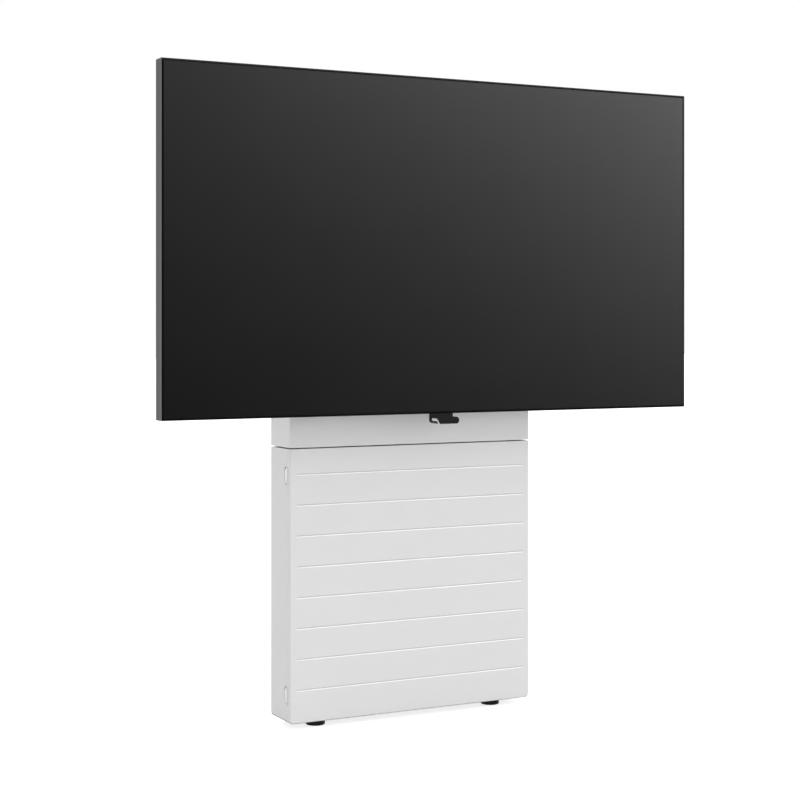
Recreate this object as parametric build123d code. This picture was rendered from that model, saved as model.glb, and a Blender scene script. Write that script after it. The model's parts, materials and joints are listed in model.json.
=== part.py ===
from build123d import *
import os

# A floor-supported, wall-fastened screen lift: two three-stage telescopic columns in a white
# sheet-steel cover carry a carriage with two hook rails, and a 65 inch screen hangs on them.
# Millimetres. X runs across, +X to the viewer's right. The wall is the plane Y = 0 and the
# front faces -Y. Heights in this script are above the floor; every piece is moved down at the
# end, so that the origin is the centre of the four wall holes.

# Covers
cover_width = 680.0
cover_depth = 115.0
lower_cover_height = 668.0
upper_cover_height = 600.0
foot_height = 16.5
seam_gap = 3.0
sheet = 2.0
corner_radius = 10.0
edge_radius = 4.0
front_return = 18.0
split_gap = 0.6
lip_clearance = 0.3
lip_reach = 10.0
lip_back = 3.5
rear_flange = 15.0
plate_flange = 15.0

# Pressed grooves of the front cover
groove_pitch = 75.0
first_groove_drop = 62.5
last_groove_rise = 60.0
groove_margin = 17.5
groove_width = 4.0
groove_depth = 1.2
groove_slope = 45.0

# Finger slots in the sides
slot_height = 44.0
slot_front = 8.0
slot_straight = 26.0
slot_rear = 36.0
slot_floor_start = 15.0
slot_depth = 8.6
slot_drop = 65.5
slot_rise = 68.0
cup_wall = 1.5

# Snap catches of the front cover
catch_inset = 14.0
catch_drop = 120.0
catch_size = 16.0
catch_depth = 8.0
stud_radius = 3.0
stud_length = 14.0
stud_nose = 2.0
fit_clearance = 0.05

# Wall frame
wall_hole_spacing_x = 300.0
wall_hole_spacing_z = 400.0
wall_hole_height = 380.0
wall_hole_radius = 5.5
frame_sheet = 3.0
frame_side_gap = 24.0
frame_flange = 18.0
frame_top_gap = 14.0
frame_foot_gap = 18.0
frame_foot_depth = 40.0
window_width = 230.0
window_height = 210.0
window_height_centre = 335.0
side_window_width = 70.0
side_window_height = 360.0
window_radius = 8.0

# Base beam and levelling feet
beam_end_gap = 30.0
beam_depth = 60.0
beam_height = 40.0
beam_wall = 3.0
beam_radius = 4.0
cap_depth = 10.0
foot_inset = 48.0
foot_radius = 24.0
foot_pad_height = 12.0
foot_edge_radius = 2.5
foot_crown_radius = 17.0
foot_stud_radius = 6.0
foot_stud_length = 34.0
foot_nut_radius = 9.0
foot_nut_collar = 4.0
foot_nut_collar_height = 3.0
foot_nut_height = 20.0
foot_hole_clearance = 1.0

# Lift columns
column_inset = 90.0
column_width = 96.0
column_depth = 76.0
profile_wall = 3.0
profile_radius = 6.0
slide_gap = 2.0
glide_clearance = 0.2
glide_height = 60.0
stage_travel = 325.0
outer_length = 560.0
stage_rise = 8.0
inner_rise = 57.5
column_opening_clearance = 2.0
clamp_wall = 5.0
clamp_height = 40.0
clamp_drop = 40.0

# Drives
gearbox_width = 84.0
gearbox_depth = 56.0
gearbox_height = 52.0
gearbox_plate = 8.0
gearbox_plate_overhang = 6.0
gearbox_radius = 5.0
gearbox_rib = 5.0
gearbox_rib_height = 24.0
gearbox_rib_spacing = 52.0
gearbox_cap_radius = 16.0
gearbox_cap_depth = 6.0
motor_radius = 25.0
motor_length = 96.0
motor_cap_radius = 20.0
motor_cap_length = 18.0
motor_edge = 2.0
motor_groove = 1.0
motor_groove_width = 2.5
motor_groove_inset = 9.0
terminal_width = 12.0
terminal_rise = 2.0
terminal_sink = 6.0

# Motor leads
lead_radius = 3.0
lead_stand_off = 9.0
lead_side_x = 128.0
lead_first_level = 150.0
lead_second_level = 200.0
lead_exit_bend = 10.0
lead_sway_bend = 60.0
lead_entry_bend = 16.0
clip_width = 14.0
clip_height = 8.0
clip_roof = 1.5
clip_levels = [240.0, 340.0, 440.0]

# Screws, nuts and bearings
screw_radius = 7.0
screw_bore_clearance = 1.0
hollow_screw_radius = 13.0
nut_height = 30.0
screw_spare = 13.5
journal_radius = 5.0
journal_length = 6.0
bearing_radius = 20.0
bearing_height = 8.0
seat_gap = 0.3

# Controls
control_width = 180.0
control_height = 90.0
control_depth = 32.0
control_rise = 62.0
control_radius = 4.0
control_lip = 10.0
inlet_width = 48.0
inlet_depth = 26.0
inlet_height = 16.0
inlet_wall = 5.0
inlet_floor = 4.0
blade_width = 4.0
blade_thickness = 2.0
blade_length = 8.0
blade_pitch = 9.0

# Carriage
carriage_head = 6.0
carriage_head_overhang = 8.0
carriage_clearance = 10.5
upright_width = 50.0
upright_depth = 46.0
upright_wall = 3.0
upright_top_gap = 5.5

# Hook rails on the front of the carriage
rail_end_gap = 10.0
rail_height = 60.0
rail_depth = 27.0
rail_wall = 3.0
rail_lip = 14.0
rail_drop = 48.4
rail_pitch = 250.0
rail_slot_length = 50.0
rail_slot_width = 14.0
rail_slot_pitch = 80.0
rail_slot_count = 5
bolt_radius = 4.0
bolt_hole_clearance = 0.3
bolt_head_radius = 6.5
bolt_head_height = 4.5
bolt_pitch = 24.0
nut_radius = 6.5
nut_thickness = 6.5

# Screen
screen_width = 1446.0
screen_height = 816.0
screen_depth = 40.0
screen_gap = 115.5
screen_hang = 60.0
bezel_wall = 5.0
bezel_depth = 32.0
glass_gap = 0.3
glass_recess = 0.6
glass_thickness = 3.0
module_margin = 12.0
module_thickness = 6.0
shell_wall = 2.5
shell_edge_radius = 3.0
bulge_width = 1040.0
bulge_height = 560.0
bulge_depth = 45.0
bulge_radius = 20.0
bulge_slope = 30.0
vent_width = 4.0
vent_length = 30.0
vent_pitch = 12.0
vent_count = 18
vent_start = 238.0
vent_level = 222.0
bay_left = 270.0
bay_width = 150.0
bay_height = 70.0
bay_drop = 150.0
bay_depth = 20.0
port_width = 15.0
port_height = 6.0
port_pitch = 26.0
port_count = 5

# Sensor module below the screen
sensor_left = -16.0
sensor_width = 60.0
sensor_neck_width = 42.0
sensor_neck_height = 9.0
sensor_body_height = 17.0
sensor_body_radius = 8.0
sensor_depth = 44.0
sensor_inset = 1.0

# Screen arms
vesa_width = 400.0
vesa_height = 300.0
vesa_tall_height = 400.0
arm_width = 40.0
arm_height = 450.0
arm_wall = 3.0
arm_rail_clearance = 3.0
arm_hole_radius = 4.3
hook_height = 46.0
hook_lip_clearance = 0.35
pad_height = 30.0
boss_radius = 9.0
arm_bolt_length = 22.0

overrun = 1.0

# Levels and planes worked out from the sizes above
cover_bottom = foot_height
cover_top = cover_bottom + lower_cover_height
cover_middle = (cover_bottom + cover_top) / 2
upper_bottom = cover_top + seam_gap
upper_top = upper_bottom + upper_cover_height
cover_front = -cover_depth
split_plane = cover_front + front_return
housing_front = split_plane + split_gap
upper_rail_level = upper_top - rail_drop
lower_rail_level = upper_rail_level - rail_pitch
screen_middle = upper_rail_level - screen_hang
screen_bottom = screen_middle - screen_height / 2
screen_rear = cover_front - screen_gap
screen_front = screen_rear - screen_depth
column_spacing = cover_width - 2 * column_inset
foot_spacing = column_spacing
column_x = column_spacing / 2
column_y = -cover_depth / 2
frame_width = cover_width - 2 * frame_side_gap
frame_foot_width = column_spacing - gearbox_width - 2 * frame_foot_gap
beam_length = cover_width - 2 * beam_end_gap
rail_length = cover_width - 2 * rail_end_gap
beam_bottom = cover_bottom + sheet
beam_top = beam_bottom + beam_height
gearbox_top = beam_top + gearbox_height + gearbox_plate
outer_bottom = gearbox_top
outer_top = outer_bottom + outer_length
middle_bottom = outer_bottom + stage_rise
middle_top = outer_top
inner_bottom = outer_bottom + inner_rise
inner_top = upper_bottom + sheet + carriage_clearance
carriage_beam_bottom = inner_top + carriage_head
carriage_beam_top = carriage_beam_bottom + beam_height
middle_width = column_width - 2 * (profile_wall + slide_gap)
middle_depth = column_depth - 2 * (profile_wall + slide_gap)
inner_width = middle_width - 2 * (profile_wall + slide_gap)
inner_depth = middle_depth - 2 * (profile_wall + slide_gap)
rail_front = cover_front - rail_depth
upright_front = cover_front + sheet
shell_rear = screen_rear + bulge_depth
arm_rear = rail_front - arm_rail_clearance
foot_y = cover_front + foot_inset

os.makedirs("parts", exist_ok=True)


# Shapes that several pieces share

def save(name, *pieces):
    """Write one node, moved down so that the origin is the centre of the wall holes."""
    node = Compound([solid for piece in pieces for solid in piece.solids()])
    export_step(Pos(0, 0, -wall_hole_height) * node, f"parts/{name}.step")


def block(left, right, rear, front, bottom, top):
    """A box between two side planes, two depths and two heights."""
    middle = Pos((left + right) / 2, (rear + front) / 2, (bottom + top) / 2)
    return middle * Box(right - left, rear - front, top - bottom)


def upright_rod(x, y, bottom, top, radius):
    return Pos(x, y, (bottom + top) / 2) * Cylinder(radius, top - bottom)


def depth_rod(x, rear, front, z, radius):
    return Pos(x, (rear + front) / 2, z) * Rot(90, 0, 0) * Cylinder(radius, rear - front)


def side_rod(left, right, y, z, radius):
    return Pos((left + right) / 2, y, z) * Rot(0, 90, 0) * Cylinder(radius, right - left)


def column_prism(width, depth, radius, bottom, top):
    """A rounded bar of the left column's outline, standing on its axis."""
    outline = RectangleRounded(width, depth, radius)
    return Pos(-column_x, column_y, bottom) * extrude(outline, amount=top - bottom)


def to_right(piece):
    return mirror(piece, about=Plane.YZ)


def pair(piece):
    """A left piece together with its mirror image on the right."""
    return [piece, to_right(piece)]


def front_prism(outline, rear, front, middle):
    """A front outline carried from a rear plane to a front plane."""
    return Pos(0, rear, middle) * extrude(Plane.XZ * outline, amount=rear - front)


def side_prism(outline, left, right):
    """A side outline, drawn in depth and height, carried from left to right."""
    return Pos(left, 0, 0) * extrude(Plane.YZ * outline, amount=right - left)


def cover_outline(width, height, radius):
    """Front outline of a cover: square at the seam, bent round at the far corners."""
    outline = Rectangle(width, height)
    return fillet(outline.vertices().group_by(Axis.Y)[0], radius)


def round_front(shape, radius):
    """Round the front edges of a cover, except the one along the seam."""
    front_edges = shape.faces().sort_by(Axis.Y)[0].edges().sort_by(Axis.Z)[:-1]
    return fillet(front_edges, radius)


def folded_tray(height, rear, bottom):
    """A cover with a rounded front, open at the rear, square at its top."""
    middle = bottom + height / 2
    outside = front_prism(cover_outline(cover_width, height, corner_radius), rear, cover_front, middle)
    inside_outline = cover_outline(cover_width - 2 * sheet, height - 2 * sheet, corner_radius - sheet)
    inside = front_prism(inside_outline, rear + overrun, cover_front + sheet, middle)
    return round_front(outside, edge_radius) - round_front(inside, edge_radius - sheet)


def open_channel(inset, wall, rear, front, top):
    """A U of the cover's sides and bottom, set in from its outline and open at the top."""
    width = cover_width - 2 * inset
    bottom = cover_bottom + inset
    height = top - bottom
    radius = corner_radius - inset
    middle = bottom + height / 2
    outside = front_prism(cover_outline(width, height, radius), rear, front, middle)
    inside_outline = cover_outline(width - 2 * wall, height, radius - wall)
    inside = front_prism(inside_outline, rear + overrun, front - overrun, middle + wall)
    return outside - inside


# Finger slots: a D-shaped opening with a scooped cup behind it

def scoop(level, grow):
    """The left finger scoop at one height, or its outside when grown by the cup's wall."""
    half = slot_height / 2 + grow
    front = cover_front + slot_front - grow
    bend = cover_front + slot_straight
    rear = cover_front + slot_rear + grow
    sides = Polyline((bend, half), (front, half), (front, -half), (bend, -half))
    outline = make_face(sides + ThreePointArc((bend, half), (rear, 0), (bend, -half)))
    side = -cover_width / 2
    floor = side + slot_depth + grow
    window = side_prism(outline, side - overrun, floor + overrun)
    floor_start = cover_front + slot_floor_start
    mouth = side - overrun
    wedge = make_face(Polyline((mouth, front), (floor, front), (floor, floor_start), (side, rear),
                               (mouth, rear), close=True))
    ramp = Pos(0, 0, -half) * extrude(wedge, amount=2 * half)
    return Pos(0, 0, level) * (window & ramp)


def cup_outside(level):
    """The outside of a left finger cup, which starts behind the side sheet."""
    behind_sheet = -cover_width / 2 + sheet + lip_clearance
    room = block(behind_sheet, 0, 0, cover_front, cover_bottom, cover_top)
    return scoop(level, cup_wall) & room


slot_levels = [cover_bottom + slot_rise, cover_top - slot_drop]


def make_finger_cups():
    return [cup_outside(level) - scoop(level, 0) for level in slot_levels]


# Covers

def make_front_cover():
    """The grooved front panel with its four folded returns and the finger notches."""
    cover = folded_tray(lower_cover_height, split_plane, cover_bottom)
    groove_room = lower_cover_height - first_groove_drop - last_groove_rise
    groove_count = int(groove_room // groove_pitch) + 1
    groove_length = cover_width - 2 * groove_margin
    for number in range(groove_count):
        level = cover_top - first_groove_drop - number * groove_pitch
        dent = SlotOverall(groove_length, groove_width)
        bead = SlotOverall(groove_length + 2 * sheet, groove_width + 2 * sheet)
        rib = Plane.XZ * bead
        rib = Pos(0, cover_front + sheet, level) * extrude(rib, amount=-groove_depth, taper=groove_slope)
        cut = Plane.XZ * dent
        cut = Pos(0, cover_front, level) * extrude(cut, amount=-groove_depth, taper=groove_slope)
        cover = cover + rib - cut
    for level in slot_levels:
        cover = cover - scoop(level, 0) - to_right(scoop(level, 0))
    return cover


def make_lower_housing():
    """Sides and bottom behind the front cover, joggled inwards where the cover laps over."""
    under_plate = cover_top - sheet
    housing = open_channel(0, sheet, 0, housing_front, cover_top)
    step = open_channel(0, 2 * sheet + lip_clearance, housing_front + sheet, housing_front, under_plate)
    lip_inset = sheet + lip_clearance
    lip_rear = housing_front + lip_back
    lip_front = housing_front - lip_reach
    lip = open_channel(lip_inset, sheet, lip_rear, lip_front, under_plate - lip_clearance)
    back = front_prism(cover_outline(cover_width, lower_cover_height, corner_radius), 0, -sheet, cover_middle)
    opening_x = cover_width / 2 - rear_flange
    back = back - block(-opening_x, opening_x, overrun, -sheet - overrun,
                        cover_bottom + rear_flange, cover_top + overrun)
    housing = housing + step + lip + back
    for level in slot_levels:
        space = scoop(level, 0) + cup_outside(level)
        housing = housing - space - to_right(space)
    for level in catch_levels:
        tab = make_catch_tab(level)
        housing = housing + tab + to_right(tab)
    for x in (-foot_spacing / 2, foot_spacing / 2):
        hole_radius = foot_nut_radius + foot_hole_clearance
        housing = housing - upright_rod(x, foot_y, cover_bottom - overrun, beam_bottom + overrun, hole_radius)
    return housing


def make_top_plate():
    """Closes the lower housing, with an opening for each column."""
    inside_x = cover_width / 2 - sheet
    plate_bottom = cover_top - sheet
    plate = block(-inside_x, inside_x, -sheet, housing_front, plate_bottom, cover_top)
    lip_top = plate_bottom - lip_clearance
    lip_x = inside_x - sheet - 2 * lip_clearance
    lip_front = housing_front - lip_reach
    lip = block(-lip_x, lip_x, housing_front + lip_back, lip_front, lip_top - sheet, lip_top)
    step = block(-lip_x, lip_x, housing_front + sheet, housing_front, lip_top - sheet, cover_top)
    plate = plate + lip + step
    for side_x in (-inside_x, inside_x - sheet):
        flange_rear = -rear_flange
        flange_front = housing_front + rear_flange
        plate = plate + block(side_x, side_x + sheet, flange_rear, flange_front,
                              plate_bottom - plate_flange, plate_bottom)
    opening_width = middle_width + 2 * column_opening_clearance
    opening_depth = middle_depth + 2 * column_opening_clearance
    opening = column_prism(opening_width, opening_depth, profile_radius, plate_bottom - overrun,
                           cover_top + overrun)
    return plate - opening - to_right(opening)


# Snap catches that hold the front cover

catch_levels = [cover_bottom + catch_drop, cover_top - catch_drop]
catch_x = -cover_width / 2 + 2 * sheet + lip_clearance + catch_inset
tab_front = housing_front - lip_reach
tab_rear = tab_front + sheet


def make_catch_tab(level):
    """A tab folded in from the left lip, with a square hole for its catch."""
    lip_x = -cover_width / 2 + sheet + lip_clearance
    tab = block(lip_x, catch_x + catch_inset, tab_rear, tab_front, level - catch_size, level + catch_size)
    half = catch_size / 2
    hole = block(catch_x - half, catch_x + half, tab_rear + overrun, tab_front - overrun,
                 level - half, level + half)
    return tab - hole


def make_cover_catch(level):
    """A plastic socket held in the tab, with a round bore for the stud."""
    half = catch_size / 2
    body = block(catch_x - half, catch_x + half, tab_front + catch_depth, tab_front, level - half,
                 level + half)
    collar = block(catch_x - half - sheet, catch_x + half + sheet, tab_rear + sheet, tab_rear,
                   level - half - sheet, level + half + sheet)
    bore = depth_rod(catch_x, tab_front + catch_depth + overrun, tab_front - overrun, level,
                     stud_radius + fit_clearance)
    return body + collar - bore


def make_cover_stud(level):
    """A pin on the inside of the front cover, with a tapered nose."""
    base = cover_front + sheet
    pin = depth_rod(catch_x, base + stud_length, base, level, stud_radius)
    return chamfer(pin.faces().sort_by(Axis.Y)[-1].edges(), stud_nose / 2, stud_nose / 4)


# Wall frame and base

def make_back_frame():
    """Folded steel plate on the wall, with windows, side flanges and a foot on the beam."""
    top = cover_top - frame_top_gap
    side = frame_width / 2
    frame = block(-side, side, 0, -frame_sheet, beam_top, top)
    for left in (-side, side - frame_sheet):
        frame = frame + block(left, left + frame_sheet, 0, -frame_flange, beam_top, top)
    frame = frame + block(-side, side, 0, -frame_flange, top - frame_sheet, top)
    foot_x = frame_foot_width / 2
    frame = frame + block(-foot_x, foot_x, 0, -frame_foot_depth, beam_top, beam_top + frame_sheet)
    window = RectangleRounded(window_width, window_height, window_radius)
    side_window = RectangleRounded(side_window_width, side_window_height, window_radius)
    frame = frame - front_prism(window, overrun, -frame_sheet - overrun, window_height_centre)
    side_hole = front_prism(side_window, overrun, -frame_sheet - overrun, window_height_centre)
    for x in (-column_x, column_x):
        frame = frame - Pos(x, 0, 0) * side_hole
    for x in (-wall_hole_spacing_x / 2, wall_hole_spacing_x / 2):
        for z in (-wall_hole_spacing_z / 2, wall_hole_spacing_z / 2):
            frame = frame - depth_rod(x, overrun, -frame_sheet - overrun, wall_hole_height + z,
                                      wall_hole_radius)
    return frame


def beam_tube(bottom, half_length):
    """A horizontal rectangular tube, centred under the columns."""
    outside = RectangleRounded(beam_depth, beam_height, beam_radius)
    inside_radius = beam_radius - beam_wall
    inside = RectangleRounded(beam_depth - 2 * beam_wall, beam_height - 2 * beam_wall, inside_radius)
    ring = Pos(column_y, bottom + beam_height / 2) * (outside - inside)
    return side_prism(ring, -half_length, half_length)


def make_base_beam():
    """The tube that the columns stand on and the feet screw into."""
    beam = beam_tube(beam_bottom, beam_length / 2)
    for x in (-foot_spacing / 2, foot_spacing / 2):
        beam = beam - upright_rod(x, foot_y, beam_bottom - overrun, beam_bottom + beam_wall + overrun,
                                  foot_nut_radius)
    return beam


def beam_cap(bottom, half_length):
    """A plastic plug with a head, in the left end of a beam."""
    inside = RectangleRounded(beam_depth - 2 * beam_wall, beam_height - 2 * beam_wall,
                              beam_radius - beam_wall)
    head = RectangleRounded(beam_depth, beam_height, beam_radius)
    place = Pos(column_y, bottom + beam_height / 2)
    plug = side_prism(place * inside, -half_length, -half_length + cap_depth)
    return plug + side_prism(place * head, -half_length - sheet, -half_length)


def make_foot_nut():
    """A flanged rivet nut in the beam's lower wall."""
    x = -foot_spacing / 2
    wall_top = beam_bottom + beam_wall
    nut = upright_rod(x, foot_y, beam_bottom, beam_bottom + foot_nut_height, foot_nut_radius)
    collar_radius = foot_nut_radius + foot_nut_collar
    nut = nut + upright_rod(x, foot_y, wall_top, wall_top + foot_nut_collar_height, collar_radius)
    bore_top = beam_bottom + foot_nut_height + overrun
    return nut - upright_rod(x, foot_y, beam_bottom - overrun, bore_top, foot_stud_radius + fit_clearance)


def make_foot_pad():
    """A round levelling foot with a rounded rim."""
    pad = upright_rod(-foot_spacing / 2, foot_y, 0, foot_pad_height, foot_radius)
    pad = fillet(pad.faces().sort_by(Axis.Z)[0].edges(), foot_edge_radius)
    rim = foot_radius - foot_crown_radius
    crown = pad.faces().sort_by(Axis.Z)[-1].edges()
    return chamfer(crown, foot_pad_height / 4, rim)


def make_foot_stud():
    """The threaded stud of a levelling foot."""
    top = foot_pad_height + foot_stud_length
    stud = upright_rod(-foot_spacing / 2, foot_y, foot_pad_height, top, foot_stud_radius)
    return chamfer(stud.faces().sort_by(Axis.Z)[-1].edges(), foot_stud_radius / 6)


# Columns

def profile(width, depth, bottom, top):
    """One stage of the left column: an extruded rectangular tube."""
    outside = column_prism(width, depth, profile_radius, bottom, top)
    inside = column_prism(width - 2 * profile_wall, depth - 2 * profile_wall, profile_radius - profile_wall,
                          bottom - overrun, top + overrun)
    return outside - inside


def inside_glide(width, depth, top):
    """A slide ring held in the mouth of a stage, easing the next stage inside it."""
    cavity_width = width - 2 * profile_wall
    cavity_depth = depth - 2 * profile_wall
    room = 2 * (slide_gap - glide_clearance)
    bottom = top - glide_height
    ring = column_prism(cavity_width, cavity_depth, profile_radius - profile_wall, bottom, top)
    return ring - column_prism(cavity_width - room, cavity_depth - room, profile_radius, bottom - overrun,
                               top + overrun)


def outside_glide(width, depth, bottom):
    """A slide ring round the lower end of a stage."""
    room = 2 * (slide_gap - glide_clearance)
    top = bottom + glide_height
    ring = column_prism(width + room, depth + room, profile_radius - profile_wall, bottom, top)
    return ring - column_prism(width, depth, profile_radius, bottom - overrun, top + overrun)


def spindle_nut(width, depth, bottom, radius):
    """A nut block that fills the lower end of a stage and rides a spindle."""
    body = column_prism(width - 2 * profile_wall, depth - 2 * profile_wall, profile_radius - profile_wall,
                        bottom, bottom + nut_height)
    bore_bottom = bottom - overrun
    bore_top = bottom + nut_height + overrun
    return body - upright_rod(-column_x, column_y, bore_bottom, bore_top, radius + fit_clearance)


def make_lead_screw():
    """The solid spindle on the gearbox, with a journal in the gearbox plate."""
    bottom = gearbox_top + seat_gap
    top = middle_bottom + nut_height + stage_travel + screw_spare
    screw = upright_rod(-column_x, column_y, bottom, top, screw_radius)
    return screw + upright_rod(-column_x, column_y, gearbox_top - journal_length, bottom, journal_radius)


def make_hollow_screw():
    """The tubular spindle round the solid one, carried by the middle stage."""
    bottom = middle_bottom + nut_height + seat_gap
    top = inner_bottom + nut_height + stage_travel + screw_spare
    screw = upright_rod(-column_x, column_y, bottom, top, hollow_screw_radius)
    bore = screw_radius + screw_bore_clearance
    return screw - upright_rod(-column_x, column_y, bottom - overrun, top + overrun, bore)


def make_screw_bearing():
    """The ring bearing that holds the tubular spindle on the middle stage."""
    bottom = middle_bottom + nut_height
    ring = upright_rod(-column_x, column_y, bottom, bottom + bearing_height, bearing_radius)
    return ring - upright_rod(-column_x, column_y, bottom - overrun, bottom + bearing_height + overrun,
                              hollow_screw_radius + fit_clearance)


def make_column_clamp():
    """A cast collar that ties the head of the left outer profile to the wall frame."""
    top = outer_top - clamp_drop
    bottom = top - clamp_height
    half_width = column_width / 2 + clamp_wall
    front = column_y - column_depth / 2 - clamp_wall
    collar = block(-column_x - half_width, -column_x + half_width, -frame_sheet, front, bottom, top)
    return collar - column_prism(column_width, column_depth, profile_radius, bottom - overrun, top + overrun)


# Drives

def gearbox_ribs(x):
    """The two gussets under the gearbox plate at one place, on the body's front and rear faces."""
    top = beam_top + gearbox_height
    reach = column_depth / 2 + gearbox_plate_overhang - sheet
    ribs = []
    for way in (-1, 1):
        face = column_y + way * gearbox_depth / 2
        tip = column_y + way * reach
        wedge = make_face(Polyline((face, top), (tip, top), (face, top - gearbox_rib_height), close=True))
        ribs.append(side_prism(wedge, x - gearbox_rib / 2, x + gearbox_rib / 2))
    return ribs


def make_gearbox():
    """The worm gearbox under the left column, with the plate that the column stands on."""
    body = column_prism(gearbox_width, gearbox_depth, gearbox_radius, beam_top, beam_top + gearbox_height)
    plate_width = column_width + 2 * gearbox_plate_overhang
    plate_depth = column_depth + 2 * gearbox_plate_overhang
    plate = column_prism(plate_width, plate_depth, profile_radius + gearbox_plate_overhang,
                         beam_top + gearbox_height, gearbox_top)
    bore = upright_rod(-column_x, column_y, gearbox_top - journal_length - seat_gap, gearbox_top + overrun,
                       journal_radius + fit_clearance)
    level = beam_top + gearbox_height / 2
    side = -column_x - gearbox_width / 2
    cap = side_rod(side - gearbox_cap_depth, side, column_y, level, gearbox_cap_radius)
    casting = body + plate + cap
    for rib_x in (-column_x - gearbox_rib_spacing / 2, -column_x + gearbox_rib_spacing / 2):
        casting = casting + gearbox_ribs(rib_x)
    return casting - bore


def make_motor():
    """The left motor, lying along the beam from the gearbox towards the middle."""
    start = -column_x + gearbox_width / 2
    level = beam_top + gearbox_height / 2
    can = side_rod(start, start + motor_length, column_y, level, motor_radius)
    can = fillet(can.faces().sort_by(Axis.X)[-1].edges(), motor_edge)
    cap_end = start + motor_length + motor_cap_length
    cap = side_rod(start + motor_length, cap_end, column_y, level, motor_cap_radius)
    motor = can + fillet(cap.faces().sort_by(Axis.X)[-1].edges(), motor_edge)
    for groove_x in (start + motor_groove_inset, start + motor_length - motor_groove_inset):
        right = groove_x + motor_groove_width
        groove = side_rod(groove_x, right, column_y, level, motor_radius + overrun)
        motor = motor - (groove - side_rod(groove_x, right, column_y, level, motor_radius - motor_groove))
    terminal_x = lead_start_x()
    half = terminal_width / 2
    terminal = block(terminal_x - half, terminal_x + half, terminal_rear, terminal_rear - terminal_sink,
                     level - half, level + half)
    return motor + terminal


terminal_rear = column_y + motor_cap_radius + terminal_rise


def lead_start_x():
    return -column_x + gearbox_width / 2 + motor_length + motor_cap_length / 2


def make_motor_lead():
    """The left motor's lead: back to the wall frame, up beside its window and into the controller."""
    start_level = beam_top + gearbox_height / 2
    end_level = control_bottom + control_height / 2
    route_y = -frame_sheet - lead_stand_off
    x = lead_start_x()
    route = FilletPolyline((x, terminal_rear, start_level), (x, route_y, start_level),
                           (x, route_y, lead_first_level), (-lead_side_x, route_y, lead_second_level),
                           (-lead_side_x, route_y, end_level), (-control_width / 2, route_y, end_level),
                           radius=[lead_exit_bend, lead_sway_bend, lead_sway_bend, lead_entry_bend])
    section = Plane(origin=route @ 0, z_dir=route % 0) * Circle(lead_radius)
    return sweep(section, path=route)


def make_lead_clip(level):
    """A plastic saddle on the wall frame that holds the left lead."""
    route_y = -frame_sheet - lead_stand_off
    front = route_y - lead_radius - clip_roof
    half = clip_width / 2
    saddle = block(-lead_side_x - half, -lead_side_x + half, -frame_sheet, front, level - clip_height / 2,
                   level + clip_height / 2)
    return saddle - upright_rod(-lead_side_x, route_y, level - clip_height, level + clip_height,
                                lead_radius + fit_clearance)


# Controls

control_bottom = window_height_centre + window_height / 2 + control_rise / 2


def make_control_box():
    """The motor controller, screwed to the wall frame above its middle window."""
    level = control_bottom + control_height / 2
    shell = RectangleRounded(control_width, control_height, control_radius)
    box = front_prism(shell, -frame_sheet, -frame_sheet - control_depth, level)
    ear = block(-control_width / 2 - control_lip, control_width / 2 + control_lip, -frame_sheet,
                -2 * frame_sheet, control_bottom + control_lip, control_bottom + control_height - control_lip)
    rim = box.faces().sort_by(Axis.Y)[0].edges()
    return chamfer(rim, control_radius / 2) + ear


def make_power_inlet():
    """The mains inlet under the controller, with its three blades."""
    y = -frame_sheet - control_depth / 2
    bottom = control_bottom - inlet_height
    body = block(-inlet_width / 2, inlet_width / 2, y + inlet_depth / 2, y - inlet_depth / 2, bottom,
                 control_bottom)
    hollow_x = inlet_width / 2 - 2 * inlet_wall
    hollow_y = inlet_depth / 2 - inlet_wall
    body = body - block(-hollow_x, hollow_x, y + hollow_y, y - hollow_y, bottom - overrun,
                        control_bottom - inlet_floor)
    for place in (-1, 0, 1):
        x = place * blade_pitch
        blade_top = control_bottom - inlet_floor
        body = body + block(x - blade_thickness / 2, x + blade_thickness / 2, y + blade_width / 2,
                            y - blade_width / 2, blade_top - blade_length, blade_top)
    return body


# Carriage

def make_carriage_beam():
    """The moving cross tube with a head plate welded on for each inner profile."""
    beam = beam_tube(carriage_beam_bottom, beam_length / 2)
    head_width = inner_width + 2 * carriage_head_overhang
    head_depth = inner_depth + 2 * carriage_head_overhang
    head = column_prism(head_width, head_depth, profile_radius, inner_top, carriage_beam_bottom)
    return beam + head + to_right(head)


upright_outer_x = -column_x - upright_width / 2
rail_bolt_x = -column_x + upright_wall / 2


upper_bolt_seat = cover_front - rail_wall
lower_bolt_seat = rail_front


def rail_bolt_places():
    """The height of each rail bolt and the plane that its head seats on."""
    places = []
    for rail_level, seat in ((upper_rail_level, upper_bolt_seat), (lower_rail_level, lower_bolt_seat)):
        places += [(rail_level - bolt_pitch / 2, seat), (rail_level + bolt_pitch / 2, seat)]
    return places


def rail_bolt_holes(rear, front):
    """Clearance holes for the rail bolts, through whatever lies between two planes."""
    radius = bolt_radius + bolt_hole_clearance
    holes = [depth_rod(rail_bolt_x, rear, front, level, radius) for level, seat in rail_bolt_places()]
    return holes + [to_right(hole) for hole in holes]


def make_upright():
    """The left upright: a folded channel, open towards the middle."""
    top = upper_top - sheet - upright_top_gap
    rear = upright_front + upright_depth
    inner_x = upright_outer_x + upright_width
    channel = block(upright_outer_x, inner_x, rear, upright_front, carriage_beam_top, top)
    channel = channel - block(upright_outer_x + upright_wall, inner_x + overrun, rear - upright_wall,
                              upright_front + upright_wall, carriage_beam_top - overrun, top + overrun)
    for hole in rail_bolt_holes(upright_front + 2 * upright_wall, upright_front - overrun):
        channel = channel - hole
    return channel


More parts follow.
